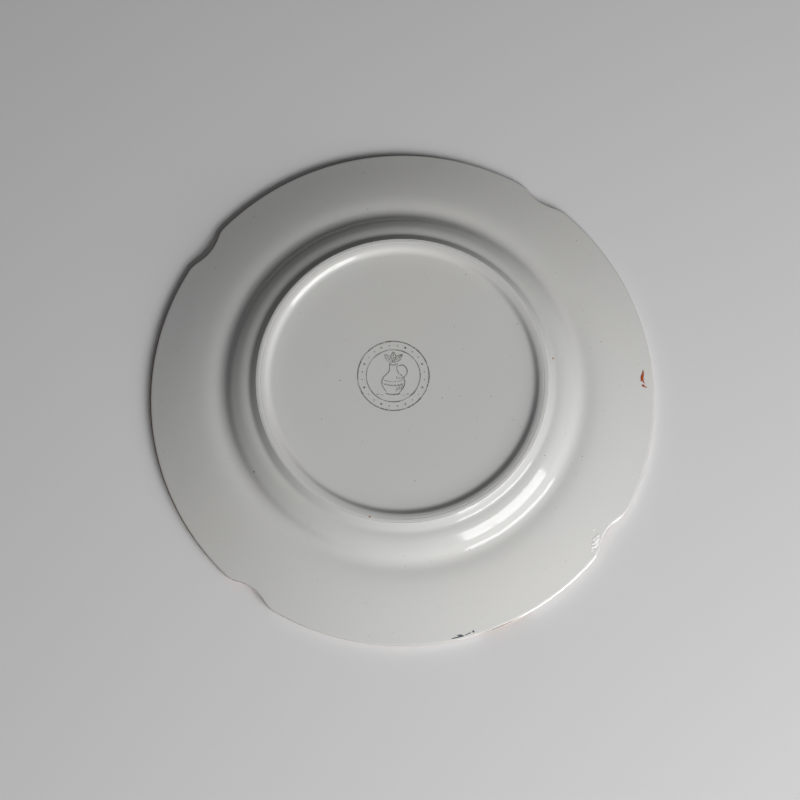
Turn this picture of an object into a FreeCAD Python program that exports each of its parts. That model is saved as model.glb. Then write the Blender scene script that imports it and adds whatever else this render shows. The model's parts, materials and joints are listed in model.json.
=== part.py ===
"""Glazed earthenware plate with four scooped notches in its rim, standing on its foot ring.

Millimetres, +Z up out of the face, origin in the middle of the plane that the foot stands on.
The plate is one fired clay body. Its glaze, the printed mark under its base and the enamel
colours are coats on that body, and each coat is a solid of its own.
"""
import FreeCAD, Part
import math
import os

Vector = FreeCAD.Vector

# ---- driving dimensions: the plate ----
plate_radius = 105.0      # rim, outside the notches
plate_height = 20.5       # foot plane to the top of the lip
foot_radius = 57.6        # middle of the foot ring's crest
foot_crest = 0.9          # width of the bare flat that the plate stands on
foot_height = 3.25        # crest to the valley round the foot
foot_lean = 4.85          # how far the foot's outer wall spreads before the valley
base_recess = 2.3         # depth of the base inside the foot ring
recess_run = 4.65         # width of the foot's inner wall, crest to base
base_thickness = 4.0      # well floor to base
well_margin = 2.6         # the flat of the well ends this far inside the valley
steep_run = 11.6          # width of the steep wall, valley to shoulder
shoulder_height = 10.2    # height at which the steep wall ends and the rim begins, underneath
wall = 3.4                # thickness of the steep wall and the rim
lip_round = 1.5           # rounding of the lip, over and under
rim_flare = 1.30          # slope of the rim at the lip against its mean slope

# ---- driving dimensions: the notches ----
notch_count = 4
notch_first = 45.0        # direction of the first notch, degrees
notch_depth = 3.0
notch_radius = 17.0       # hollow arc of a notch
notch_corner = 10.0       # soft corner on each side of it

# ---- driving dimensions: glaze, mark and enamels ----
glaze = 0.3
foot_wipe = 0.08          # height to which the glaze is worn off the foot
film = 0.12               # enamel colour on the glaze
rim_line_width = 2.2
well_line_inset = 5.0     # painted line in the well, from the edge of its flat
well_line_width = 0.7
mark_film = 0.05          # print under the base
mark_radius = 14.6        # outer ring of the printed mark
mark_band = 3.6           # outer ring to inner ring
mark_line = 0.4
mark_turn = 9.0           # the mark is turned from the notches, degrees
mark_shift = 3.5          # the mark is off centre, to its own left
mark_rise = 0.84          # and this much towards its own top
mark_beads = 24           # beads between its rings
bead_radius = 0.42
blossom_petal = 2.3       # radius of one petal of a rim blossom
petal_ring = 3.3          # the petals' middles stand this far from the blossom's
blossom_eye = 1.1         # radius of its middle
eye_gap = 0.1             # bare glaze between petals and middle
centre_scale = 1.75       # blossoms in the well against those on the rim
spray_radius = 12.5       # the well's three blossoms stand this far from its middle
leaf_length = 9.0
leaf_width = 3.4
leaf_lean = 32.0          # leaves lean this far off a sprig's line, degrees
sprig_reach = 6.3         # blossom to the root of the leaves
berry_radius = 0.8
fleck_inset = 3.6         # stray red enamel under the rim, from the rim
fleck_angle = 7.3
fleck_length = 7.0
fleck_width = 1.1
fleck_tail = 3.4          # its tail, on one side
smudge_inset = 2.6        # stray blue enamel under the rim, from the rim
smudge_angle = 86.7
smudge_length = 5.5
smudge_width = 1.7
drop_radius = 0.5         # drop beside the smear
drop_inset = 2.6          # smear to drop, towards the middle
drop_angle = 4.5          # smear to drop, round the rim, degrees

film_gap = 0.01           # an enamel or print film clears the glaze by this much
rim_reach = 8.0           # the turned shape runs this far past the rim before it is cut


def polar(radius, angle, z=0.0):
    """The point at this distance and direction in degrees."""
    a = math.radians(angle)
    return Vector(radius * math.cos(a), radius * math.sin(a), z)


# ---- the turned shape ----
def through(stations):
    """A smooth curve in the XZ plane through these (radius, height) stations."""
    curve = Part.BSplineCurve()
    curve.interpolate([Vector(r, 0, z) for r, z in stations])
    return curve


def moved_square(curve, stations, distance):
    """The stations, each moved to the left of the curve by the distance, square to it."""
    out = []
    for r, z in stations:
        way = curve.tangent(curve.parameter(Vector(r, 0, z)))[0]
        out.append((r - way.z * distance, z + way.x * distance))
    return out


crest_edge = foot_radius + foot_crest / 2 + glaze
valley_radius = crest_edge + foot_lean
shoulder_radius = valley_radius + steep_run
well_radius = valley_radius - well_margin
lip_slope = rim_flare * (plate_height - wall - shoulder_height) / (plate_radius - shoulder_radius)
slope = (1 / math.hypot(1, lip_slope), lip_slope / math.hypot(1, lip_slope))
# the underside meets the outline this far below the highest point of the rounded lip
lip_drop = lip_round + (wall - lip_round - lip_round * slope[1]) / slope[0]


def spaced(first, last, shares):
    """Stations between two (radius, height) places, at these shares of the way out and up."""
    return [(first[0] + (last[0] - first[0]) * a, first[1] + (last[1] - first[1]) * b) for a, b in shares]


def underside_stations():
    """Stations of the glazed underside, from the foot's crest out past the rim."""
    valley = (valley_radius, foot_height)
    shoulder = (shoulder_radius, shoulder_height)
    edge = (plate_radius, plate_height - lip_drop)
    stations = spaced((crest_edge, 0.0), valley, [(0, 0), (0.11, 0.14), (0.40, 0.52), (0.70, 0.88), (1, 1)])
    stations += spaced(valley, shoulder, [(0.20, 0.11), (0.38, 0.28), (0.57, 0.51), (0.78, 0.85), (1, 1)])
    stations += spaced(shoulder, edge, [(0.12, 0.03), (0.35, 0.19), (0.65, 0.54), (1, 1)])
    stations.append((edge[0] + rim_reach * slope[0], edge[1] + rim_reach * slope[1]))
    return stations


def face_stations():
    """Stations of the glazed face, from the edge of the flat well out past the rim."""
    stations = underside_stations()
    curve = through(stations)
    risen = moved_square(curve, stations, wall)
    floor = base_recess + base_thickness
    turn = [(well_radius, floor), (well_radius + 1.0, floor + 0.02), (well_radius + 2.2, floor + 0.13)]
    return turn + risen[7:]


def face_curve(raised):
    """The face as a line across the well and a curve out over the rim, raised or sunk."""
    stations = face_stations()
    shape = through(stations)
    stations = moved_square(shape, stations, raised)
    floor = stations[0][1]
    flat = Part.LineSegment(Vector(0, 0, floor), Vector(stations[0][0], 0, floor))
    return [flat.toShape(), through(stations).toShape()]


def turned(inset):
    """The round plate before its rim is cut; inset sinks every glazed face by that much."""
    under = underside_stations()
    curve = through(under)
    below = moved_square(curve, under, inset)
    below[0] = (under[0][0] - inset, 0.0)
    inner = foot_radius - foot_crest / 2 - glaze + inset
    base = base_recess + inset
    recess = spaced((inner, 0.0), (inner - recess_run, base),
                    [(0, 0), (0.18, 0.10), (0.42, 0.30), (0.62, 0.68), (0.78, 0.90), (1, 1)])
    hollow = through(recess).toShape()
    crest = Part.LineSegment(Vector(inner, 0, 0), Vector(below[0][0], 0, 0)).toShape()
    outside = through(below).toShape()
    top = face_curve(-inset)
    floor = top[0].Vertexes[0].Point
    ends = [Part.LineSegment(outside.Vertexes[-1].Point, top[1].Vertexes[-1].Point).toShape(),
            Part.LineSegment(Vector(0, 0, base), floor).toShape(),
            Part.LineSegment(Vector(0, 0, base), hollow.Vertexes[-1].Point).toShape()]
    wire = Part.Wire(Part.__sortEdges__([hollow, crest, outside] + top + ends))
    return Part.Face(wire).revolve(Vector(0, 0, 0), Vector(0, 0, 1), 360)


# ---- the notched outline ----
def outline(inset):
    """The rim seen from above: a circle with tangent arcs into each notch, inset by a distance."""
    rim = plate_radius - inset
    hollow = notch_radius + inset
    corner = notch_corner - inset
    far = plate_radius - notch_depth + notch_radius
    near = rim - corner
    half = math.degrees(math.acos((near ** 2 + far ** 2 - (hollow + corner) ** 2) / (2 * near * far)))
    step = 360.0 / notch_count
    edges = []
    for k in range(notch_count):
        middle = notch_first + k * step
        centre = polar(far, middle)
        joins = []
        for side in (-1, 1):
            pivot = polar(near, middle + side * half)
            outer = polar(rim, middle + side * half)
            inner = pivot + (centre - pivot).normalize() * corner
            turn = ((outer - pivot).normalize() + (inner - pivot).normalize()).normalize()
            edges.append(Part.Arc(outer, pivot + turn * corner, inner).toShape())
            joins.append(inner)
        edges.append(Part.Arc(joins[0], polar(far - hollow, middle), joins[1]).toShape())
        edges.append(Part.Arc(polar(rim, middle + half), polar(rim, middle + step / 2),
                              polar(rim, middle + step - half)).toShape())
    return Part.Wire(Part.__sortEdges__(edges))


def prism(wire, low, high):
    """A flat outline carried up from one height to another."""
    solid = Part.Face(wire).extrude(Vector(0, 0, high - low))
    solid.translate(Vector(0, 0, low))
    return solid


def notched(inset):
    """The turned shape cut to the notched outline, with its lip rounded over and under."""
    solid = turned(inset).common(prism(outline(inset), -1.0, plate_height * 2)).Solids[0]
    least = plate_radius - notch_depth - inset - 0.5
    rim_edges = []
    for edge in solid.Edges:
        ends = [v.Point for v in edge.Vertexes]
        upright = len(ends) == 2 and math.dist(ends[0][:2], ends[1][:2]) < 0.01
        if not upright and all(math.hypot(p.x, p.y) > least for p in ends):
            rim_edges.append(edge)
    return solid.makeFillet(lip_round - inset, rim_edges)


# ---- enamel and print ----
def film_band(edges, raised):
    """A thin turned layer between two copies of the same curves."""
    first = [edges[0].Vertexes[0].Point, raised[0].Vertexes[0].Point]
    last = [edges[-1].Vertexes[-1].Point, raised[-1].Vertexes[-1].Point]
    ends = [Part.LineSegment(a, b).toShape() for a, b in (first, last)]
    wire = Part.Wire(Part.__sortEdges__(edges + raised + ends))
    return Part.Face(wire).revolve(Vector(0, 0, 0), Vector(0, 0, 1), 360)


def face_film():
    """The layer in which the face's enamel colours lie."""
    return film_band(face_curve(film_gap), face_curve(film_gap + film))


def under_rim_film():
    """The layer under the rim in which stray enamel lies."""
    under = underside_stations()
    curve = through(under)
    layers = []
    for drop in (film_gap, film_gap + film):
        stations = moved_square(curve, under, -drop)[9:]
        layers.append([through(stations).toShape()])
    return film_band(*layers)


def disc(radius, centre, low, high):
    """An upright cylinder."""
    return Part.makeCylinder(radius, high - low, Vector(centre.x, centre.y, low))


def ring(radius, width, centre, low, high):
    """An upright tube whose outside has this radius."""
    return disc(radius, centre, low, high).cut(disc(radius - width, centre, low, high))


def leaf(root, angle, length, width, low, high):
    """A pointed leaf: two equal arcs from its root to its tip."""
    tip = root + polar(length, angle)
    middle = root + polar(length / 2, angle)
    side = polar(width / 2, angle + 90)
    arcs = [Part.Arc(root, middle + side, tip).toShape(), Part.Arc(tip, middle - side, root).toShape()]
    return prism(Part.Wire(arcs), low, high)


def blossom(centre, scale, low, high):
    """Five round petals about an open middle."""
    petal = blossom_petal * scale
    petals = [disc(petal, centre + polar(petal_ring * scale, 90 + 72 * k), low, high) for k in range(5)]
    solid = petals[0].multiFuse(petals[1:])
    return solid.cut(disc((blossom_eye + eye_gap) * scale, centre, low, high))


def sprig(centre, angle, scale, low, high):
    """A blossom with two pairs of leaves and berries on both sides of it."""
    reach = sprig_reach * scale
    leaves, berries = [], [disc(blossom_eye * scale, centre, low, high)]
    for side in (0, 180):
        way = angle + side
        root = centre + polar(reach, way)
        for lean in (-leaf_lean, leaf_lean):
            leaves.append(leaf(root, way + lean, leaf_length * scale, leaf_width * scale, low, high))
        for step in (0.62, 1.0):
            spot = root + polar(leaf_length * scale * step + berry_radius, way)
            berries.append(disc(berry_radius * scale, spot, low, high))
    return blossom(centre, scale, low, high), leaves, berries


def face_enamels():
    """The face's colours: a sprig between each two notches and a spray of three in the well."""
    low, high = 0.0, plate_height * 1.5
    blossoms, leaves, berries = [], [], []
    step = 360.0 / notch_count
    rim_middle = (shoulder_radius + plate_radius) / 2
    between = [notch_first + step * (k + 0.5) for k in range(notch_count)]
    spots = [(polar(rim_middle, way), way + 90, 1.0) for way in between]
    spots += [(polar(spray_radius, 90 + 120 * k), 90 + 120 * k, centre_scale) for k in range(3)]
    for centre, angle, scale in spots:
        flower, greens, dots = sprig(centre, angle, scale, low, high)
        if scale > 1.0:
            greens, dots = greens[:2], dots[:3]
        blossoms.append(flower)
        leaves += greens
        berries += dots
    return Part.makeCompound(blossoms), leaves[0].multiFuse(leaves[1:]), Part.makeCompound(berries)


def rim_line():
    """The painted line over the lip: its face side, down to the outermost part of the edge."""
    shell = notched(-film).cut(notched(-film_gap))
    inside = prism(outline(rim_line_width), -1.0, plate_height * 2)
    middle = plate_height - lip_round * 1.1
    near, far = plate_radius - 2 * rim_reach, plate_radius + rim_reach
    points = [Vector(near, 0, -1), Vector(far, 0, -1), Vector(far, 0, middle + rim_reach * lip_slope),
              Vector(near, 0, middle - 2 * rim_reach * lip_slope)]
    below = Part.Face(Part.makePolygon(points + points[:1]))
    below = below.revolve(Vector(0, 0, 0), Vector(0, 0, 1), 360)
    return shell.cut(inside).cut(below)


def base_mark():
    """A potter's mark of no maker: a jug with three leaves, inside two rings and a row of beads."""
    low, high = -mark_film, 0.0
    middle = Vector(0, 0, 0)
    inner = mark_radius - mark_band
    pieces = [ring(mark_radius, mark_line, middle, low, high), ring(inner, mark_line, middle, low, high)]
    beads = [disc(bead_radius, polar(mark_radius - mark_line / 2 - mark_band / 2, 360.0 * k / mark_beads),
                  low, high) for k in range(mark_beads)]
    belly = ring(inner * 0.42, mark_line * 1.4, polar(inner * 0.22, -90), low, high)
    neck = [Part.makeBox(mark_line, inner * 0.36, mark_film, Vector(x - mark_line / 2, inner * 0.17, low))
            for x in (-inner * 0.14, inner * 0.14)]
    foot = Part.makeBox(inner * 0.50, mark_line * 1.4, mark_film,
                        Vector(-inner * 0.25, -inner * 0.70, low))
    handle = ring(inner * 0.20, mark_line, Vector(inner * 0.38, inner * 0.16, 0), low, high)
    handle = handle.cut(disc(inner * 0.42, polar(inner * 0.22, -90), low, high))
    leaves = [leaf(Vector(0, inner * 0.56, 0), 90 + lean, length, inner * 0.17, low, high)
              for lean, length in ((-48, inner * 0.46), (0, inner * 0.74), (48, inner * 0.46))]
    lines = pieces[0].multiFuse(pieces[1:] + [belly, foot] + neck + [handle] + leaves)
    return Part.makeCompound([lines] + beads)


def placed_mark(shape):
    """The mark flat against the base, read from below, turned and off centre."""
    shape = shape.copy()
    shape.rotate(Vector(0, 0, 0), Vector(1, 0, 0), 180)
    shape.translate(Vector(-mark_shift, -mark_rise, base_recess - film_gap - mark_film))
    shape.rotate(Vector(0, 0, 0), Vector(0, 0, 1), mark_turn)
    return shape


def stray_fleck():
    """A slip of the brush under the rim: a short bar with a tail on one side."""
    radius = plate_radius - fleck_inset
    start = polar(radius, fleck_angle - math.degrees(fleck_length / 2 / radius))
    low, high = 0.0, plate_height * 1.5
    along = fleck_angle + 86
    bar = leaf(start, along, fleck_length, fleck_width, low, high)
    tail = leaf(start + polar(fleck_width / 3, along), fleck_angle + 200, fleck_tail, fleck_width, low, high)
    return bar.fuse(tail)


def stray_smudge():
    """A thumbed smear under the rim's edge, with one drop beside it."""
    radius = plate_radius - smudge_inset
    start = polar(radius, smudge_angle - math.degrees(smudge_length / 2 / radius))
    low, high = 0.0, plate_height * 1.5
    smear = leaf(start, smudge_angle + 96, smudge_length, smudge_width, low, high)
    drop = disc(drop_radius, polar(radius - drop_inset, smudge_angle - drop_angle), low, high)
    return Part.makeCompound([smear, drop])


# ---- build ----
def write(node, shape):
    """One STEP file for the node, holding solids only."""
    solids = shape.Solids
    out = solids[0] if len(solids) == 1 else Part.makeCompound(solids)
    out.exportStep("parts/%s.step" % node)
    box = out.optimalBoundingBox()
    sizes = (box.XLength, box.YLength, box.ZMin, box.ZMax)
    print("%-14s %2d solids %9.1f mm3 valid %s" % (node, len(solids), out.Volume, out.isValid()),
          " box %.2f x %.2f, z %.2f to %.2f" % sizes)


def build():
    os.makedirs("parts", exist_ok=True)
    body = notched(glaze)
    glazed = notched(0.0)
    wiped = Part.makeBox(4 * plate_radius, 4 * plate_radius, foot_wipe + 1,
                         Vector(-2 * plate_radius, -2 * plate_radius, -1))
    coats = sorted(glazed.cut(body).cut(wiped).Solids, key=lambda s: s.Volume)
    write("clay_body", body)
    write("outer_glaze", coats[-1])
    write("base_glaze", coats[0])
    write("rim_line", rim_line())
    layer = face_film()
    for node, shape in zip(("face_blossoms", "face_leaves", "face_berries"), face_enamels()):
        write(node, shape.common(layer))
    line = ring(well_radius - well_line_inset, well_line_width, Vector(0, 0, 0), 0, plate_height)
    write("well_line", line.common(layer))
    write("base_mark", placed_mark(base_mark()))
    under = under_rim_film()
    write("red_fleck", stray_fleck().common(under))
    write("blue_smudge", stray_smudge().common(under))


build()
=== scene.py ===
"""Looks of a glazed earthenware plate with a notched rim, painted on its face and printed under its base.

Every shape is worked out from the plate's section and its notched outline. Lengths are metres, +Z up out of
the face, with the origin in the middle of the plane that the foot ring stands on.
"""
import json
import math

import bpy
import numpy as np
from bpy.props import FloatProperty, FloatVectorProperty, IntProperty, PointerProperty
from bpy.types import Operator, Panel, PropertyGroup
from mathutils import Matrix, Vector


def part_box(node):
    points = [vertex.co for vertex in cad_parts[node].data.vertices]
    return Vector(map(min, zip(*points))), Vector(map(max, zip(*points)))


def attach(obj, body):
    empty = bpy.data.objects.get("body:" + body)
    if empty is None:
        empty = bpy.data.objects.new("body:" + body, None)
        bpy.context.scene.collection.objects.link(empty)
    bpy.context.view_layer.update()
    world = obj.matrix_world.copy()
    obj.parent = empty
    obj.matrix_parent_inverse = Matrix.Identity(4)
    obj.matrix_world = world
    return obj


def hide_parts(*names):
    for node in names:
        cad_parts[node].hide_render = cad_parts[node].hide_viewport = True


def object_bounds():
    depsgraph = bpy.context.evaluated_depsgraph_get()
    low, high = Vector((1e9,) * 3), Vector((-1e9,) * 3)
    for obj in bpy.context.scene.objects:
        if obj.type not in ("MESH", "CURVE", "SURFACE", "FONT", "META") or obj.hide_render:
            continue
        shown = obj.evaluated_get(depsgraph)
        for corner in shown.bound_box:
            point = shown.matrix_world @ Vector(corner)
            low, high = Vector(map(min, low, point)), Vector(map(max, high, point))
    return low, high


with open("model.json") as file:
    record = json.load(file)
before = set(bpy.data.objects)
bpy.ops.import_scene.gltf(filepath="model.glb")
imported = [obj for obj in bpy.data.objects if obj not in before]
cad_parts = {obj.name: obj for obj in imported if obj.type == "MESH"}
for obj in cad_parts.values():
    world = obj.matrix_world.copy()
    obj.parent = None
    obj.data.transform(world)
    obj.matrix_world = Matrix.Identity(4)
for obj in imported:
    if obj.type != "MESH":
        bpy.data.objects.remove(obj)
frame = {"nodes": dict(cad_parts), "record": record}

bl_info = {
    "name": "Painted plate",
    "version": (1, 0, 0),
    "blender": (4, 5, 0),
    "location": "3D View > Sidebar > Plate",
    "description": "Glaze, enamels, mark and stage for an earthenware plate with a notched rim",
    "category": "Object",
}

MM = 0.001
COAT_WAYS = 448         # directions in which a coat's rows are cut round the plate
LINE_WAYS = 720         # the same for the painted line over the lip
KEEP_OUTER = 7          # the inner wall of the outer coat keeps one row in this many
KEEP_BASE = 4           # the same for the base coat
WALL_STATION = 7        # the face follows the underside from this station of its section on
cad_box = [list(corner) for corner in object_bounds()]
glaze_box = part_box("outer_glaze")
clay_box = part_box("clay_body")
base_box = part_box("base_glaze")
rim_line_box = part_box("rim_line")
mark_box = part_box("base_mark")
foot_mount = frame["record"]["mounts"][0]
glaze_thickness = glaze_box[1].x - clay_box[1].x
film_gap = 0.01 * MM
film = rim_line_box[1].x - glaze_box[1].x
print_film = mark_box[1].z - mark_box[0].z


# ---- what a user would change ----
def length(name, value, what):
    """A length in metres."""
    return FloatProperty(name=name, description=what, default=value, unit="LENGTH", subtype="DISTANCE")


def turn(name, value, what):
    """An angle in radians, given here in degrees."""
    return FloatProperty(name=name, description=what, default=math.radians(value), unit="ROTATION",
                         subtype="ANGLE")


def tint(name, value, what):
    """A colour in linear red, green and blue."""
    return FloatVectorProperty(name=name, description=what, default=value, subtype="COLOR", min=0, max=1)


class PlateSizes(PropertyGroup):
    """The section and outline of the plate."""
    radius: length("Rim radius", glaze_box[1].x, "Rim, outside the notches")
    height: length("Height", glaze_box[1].z + 0.02 * MM, "Foot plane to the top of the lip")
    foot_radius: length("Foot radius", foot_mount["pos_m"][0], "Middle of the foot ring's crest")
    foot_crest: length("Foot crest", 0.9 * MM, "Width of the bare flat that the plate stands on")
    foot_height: length("Foot height", 3.25 * MM, "Crest to the valley round the foot")
    foot_lean: length("Foot lean", 4.85 * MM, "Spread of the foot's outer wall")
    foot_wipe: length("Foot wipe", glaze_box[0].z, "Height to which the glaze is worn off the foot")
    base_recess: length("Base recess", base_box[1].z - glaze_thickness, "Depth of the base inside the foot")
    recess_run: length("Recess run", 4.65 * MM, "Width of the foot's inner wall")
    base_thickness: length("Base thickness", 4.0 * MM, "Well floor to base")
    well_margin: length("Well margin", 2.6 * MM, "Edge of the well's flat, inside the valley")
    steep_run: length("Steep run", 11.6 * MM, "Width of the steep wall")
    shoulder_height: length("Shoulder height", 10.2 * MM, "Top of the steep wall, underneath")
    wall: length("Wall", 3.4 * MM, "Thickness of the steep wall and the rim")
    lip_round: length("Lip rounding", 1.5 * MM, "Rounding of the lip, over and under")
    lip_under: length("Lip under", 0.8 * MM, "Tighter rounding of the glaze under the lip")
    rim_flare: FloatProperty(name="Rim flare", description="Slope at the lip against the rim's mean slope",
                             default=1.30)
    notches: IntProperty(name="Notches", description="Notches in the rim", default=4, min=1)
    first_notch: turn("First notch", 45.0, "Direction of the first notch")
    notch_depth: length("Notch depth", 3.0 * MM, "How far a notch cuts in")
    notch_radius: length("Notch radius", 17.0 * MM, "Hollow arc of a notch")
    notch_corner: length("Notch corner", 10.0 * MM, "Soft corner on each side of a notch")
    warp: length("Warp", 0.09 * MM, "How far the rim moved out of true in the kiln")


class PaintSizes(PropertyGroup):
    """The painter's and the printer's work."""
    rim_line_width: length("Rim line", 2.2 * MM, "Width of the painted line over the lip")
    slip_way: turn("Line's far side", 216.0, "Direction in which the line reaches furthest round the lip")
    run_way: turn("Run of the line", 76.0, "Direction in which the line ran under the lip")
    well_line_radius: length("Well line radius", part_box("well_line")[1].x, "Painted line round the well")
    well_line_width: length("Well line", 0.7 * MM, "Width of the line round the well")
    petal: length("Petal", 2.3 * MM, "Half the width of a petal in a rim blossom")
    eye: length("Blossom eye", 1.1 * MM, "Radius of a blossom's middle")
    centre_scale: FloatProperty(name="Centre scale", default=1.75,
                                description="Blossoms in the well against those on the rim")
    spray_radius: length("Spray radius", 12.5 * MM, "The well's blossoms stand this far from its middle")
    leaf_length: length("Leaf length", 9.0 * MM, "Root to tip")
    leaf_width: length("Leaf width", 3.4 * MM, "Across the middle")
    leaf_lean: turn("Leaf lean", 32.0, "Leaves lean this far off their sprig's line")
    sprig_reach: length("Sprig reach", 6.3 * MM, "Blossom to the root of its leaves")
    berry: length("Berry", 0.8 * MM, "Radius of a berry")
    mark_line: length("Mark line", 0.4 * MM, "Width of the mark's printed lines")
    mark_band: length("Mark band", 3.6 * MM, "Outer ring to inner ring")
    mark_beads: IntProperty(name="Mark beads", description="Beads between the mark's rings", default=24)
    mark_turn: turn("Mark turn", 9.0, "The mark is turned from the notches")


class Finishes(PropertyGroup):
    """Colours of the clay, the glaze and the enamels."""
    clay: tint("Clay", (0.66, 0.62, 0.55), "Bare fired clay")
    glaze: tint("Glaze", (0.800, 0.800, 0.790), "White glaze")
    pooled: tint("Pooled glaze", (0.735, 0.745, 0.725), "Glaze where it lies thick in the hollows")
    brown: tint("Brown", (0.235, 0.105, 0.048), "Brown line")
    red: tint("Red", (0.400, 0.050, 0.014), "Orange-red enamel")
    thin_red: tint("Thin red", (0.600, 0.235, 0.085), "The same where it is thin")
    blue: tint("Blue", (0.040, 0.058, 0.075), "Blue-grey enamel")
    thin_blue: tint("Thin blue", (0.215, 0.275, 0.310), "The same where it is thin")
    ochre: tint("Ochre", (0.640, 0.330, 0.060), "Ochre enamel")
    olive: tint("Olive", (0.115, 0.114, 0.080), "Printer's ink of the mark")
    iron: tint("Iron", (0.060, 0.035, 0.022), "Iron specks in the glaze")


class StageLook(PropertyGroup):
    """Camera, tables and lights."""
    distance: length("Camera distance", 0.4139, "Camera to the middle of the rim's plane")
    tilt: turn("Camera tilt", 13.45, "Camera off the plate's axis")
    roll: turn("Camera roll", 9.1, "The view's level against the notches")
    lens: FloatProperty(name="Lens", description="Focal length in millimetres, 36 mm sensor", default=44.34)
    window: FloatProperty(name="Window", description="Light of the low window", default=9.5, unit="POWER")
    bright_wall: FloatProperty(name="Bright wall", description="Light from above the window", default=9.0,
                               unit="POWER")
    sky: FloatProperty(name="Sky", description="Light from all round", default=0.042)
    ceiling: FloatProperty(name="Ceiling", description="Soft light square on to the base", default=0.28,
                           unit="POWER")
    sun: FloatProperty(name="Sun", description="Soft light on the plate's face", default=1.05)
    table_tone: tint("Table", (0.885, 0.885, 0.895), "Pale tables")


# ---- curves and the plate's section ----
class Curve:
    """A natural cubic spline through the points, read along its chords.

    With h the gap between knots s0 and s1, b = (s - s0) / h and a = 1 - b, a point is
    a p0 + b p1 + ((a^3 - a) m0 + (b^3 - b) m1) h^2 / 6. The bends m solve h0 m0 + 2 (h0 + h1) m1 + h1 m2 =
    6 (slope1 - slope0) at every inner point, and are none at the two ends.
    """

    def __init__(self, points):
        self.points = np.array(points, float)
        steps = np.diff(self.points, axis=0)
        gaps = np.linalg.norm(steps, axis=1)
        self.knots = np.concatenate([[0.0], np.cumsum(gaps)])
        system = np.eye(len(self.points))
        inner = np.arange(1, len(self.points) - 1)
        system[inner, inner - 1] = gaps[:-1]
        system[inner, inner] = 2 * (gaps[:-1] + gaps[1:])
        system[inner, inner + 1] = gaps[1:]
        changes = np.zeros_like(self.points)
        changes[1:-1] = 6 * np.diff(steps / gaps[:, None], axis=0)
        self.bends = np.linalg.solve(system, changes)

    def at(self, places):
        """The points at these places along the chords."""
        first = np.clip(np.searchsorted(self.knots, places, side="right") - 1, 0, len(self.knots) - 2)
        gap = (self.knots[first + 1] - self.knots[first])[:, None]
        b = (places - self.knots[first])[:, None] / gap
        a = 1 - b
        straight = a * self.points[first] + b * self.points[first + 1]
        bowed = (a ** 3 - a) * self.bends[first] + (b ** 3 - b) * self.bends[first + 1]
        return straight + bowed * gap ** 2 / 6

    def even(self, count):
        """This many points, evenly spaced along the chords."""
        return self.at(np.linspace(0.0, self.knots[-1], count))

    def moved_square(self, distance):
        """The curve's own points, each moved to its left by the distance, square to the curve."""
        nudge = self.knots[-1] * 1e-5
        ways = self.at(self.knots + nudge) - self.at(self.knots - nudge)
        ways /= np.linalg.norm(ways, axis=1)[:, None]
        return self.points + np.stack([-ways[:, 1], ways[:, 0]], axis=1) * distance


def spaced(first, last, shares):
    """Stations between two (radius, height) places, at these shares of the way out and up."""
    return [(first[0] + (last[0] - first[0]) * a, first[1] + (last[1] - first[1]) * b) for a, b in shares]


class Section:
    """Heights of the plate's face, underside and base at any distance from its axis."""

    def __init__(self, size):
        crest = size.foot_crest / 2 + glaze_thickness
        self.crest_edge = size.foot_radius + crest
        self.crest_inner = size.foot_radius - crest
        self.valley = self.crest_edge + size.foot_lean
        self.shoulder = self.valley + size.steep_run
        self.floor = size.base_recess + size.base_thickness
        rise = size.height - size.wall - size.shoulder_height
        lip_slope = size.rim_flare * rise / (size.radius - self.shoulder)
        cosine = 1 / math.hypot(1, lip_slope)
        sine = lip_slope * cosine
        lip_drop = size.lip_round + (size.wall - size.lip_round - size.lip_round * sine) / cosine
        edge = (size.radius, size.height - lip_drop)
        past = 8 * MM
        valley = (self.valley, size.foot_height)
        shoulder = (self.shoulder, size.shoulder_height)
        stations = spaced((self.crest_edge, 0.0), valley,
                          [(0, 0), (0.11, 0.14), (0.40, 0.52), (0.70, 0.88), (1, 1)])
        stations += spaced(valley, shoulder, [(0.20, 0.11), (0.38, 0.28), (0.57, 0.51), (0.78, 0.85), (1, 1)])
        stations += spaced(shoulder, edge, [(0.12, 0.03), (0.35, 0.19), (0.65, 0.54), (1, 1)])
        stations.append((edge[0] + past * cosine, edge[1] + past * sine))
        under = Curve(stations)
        flat_end = self.valley - size.well_margin
        turn_in = [(flat_end, self.floor), (flat_end + 1.0 * MM, self.floor + 0.02 * MM),
                   (flat_end + 2.2 * MM, self.floor + 0.13 * MM)]
        face = Curve(turn_in + [tuple(p) for p in under.moved_square(size.wall)[WALL_STATION:]])
        recess = spaced((self.crest_inner, 0.0), (self.crest_inner - size.recess_run, size.base_recess),
                        [(0, 0), (0.18, 0.10), (0.42, 0.30), (0.62, 0.68), (0.78, 0.90), (1, 1)])
        self.under_line = under.even(2000)
        self.face_line = face.even(2000)
        self.recess_line = Curve(recess).even(600)[::-1]
        self.size = size

    def warp(self, x, y):
        """Height that the kiln added: two and three waves round the rim, growing as the radius squared."""
        way = np.arctan2(y, x)
        share = (x * x + y * y) / self.size.radius ** 2
        return self.size.warp * share * (np.sin(2 * way + 0.7) + 0.6 * np.sin(3 * way + 2.1)) / 1.6

    def height(self, side, x, y):
        """Height of one side of the plate above the foot plane at plan places x, y."""
        line = {"face": self.face_line, "under": self.under_line, "base": self.recess_line}[side]
        flat = np.interp(np.hypot(x, y), line[:, 0], line[:, 1])
        return flat if side == "base" else flat + self.warp(x, y)


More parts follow.
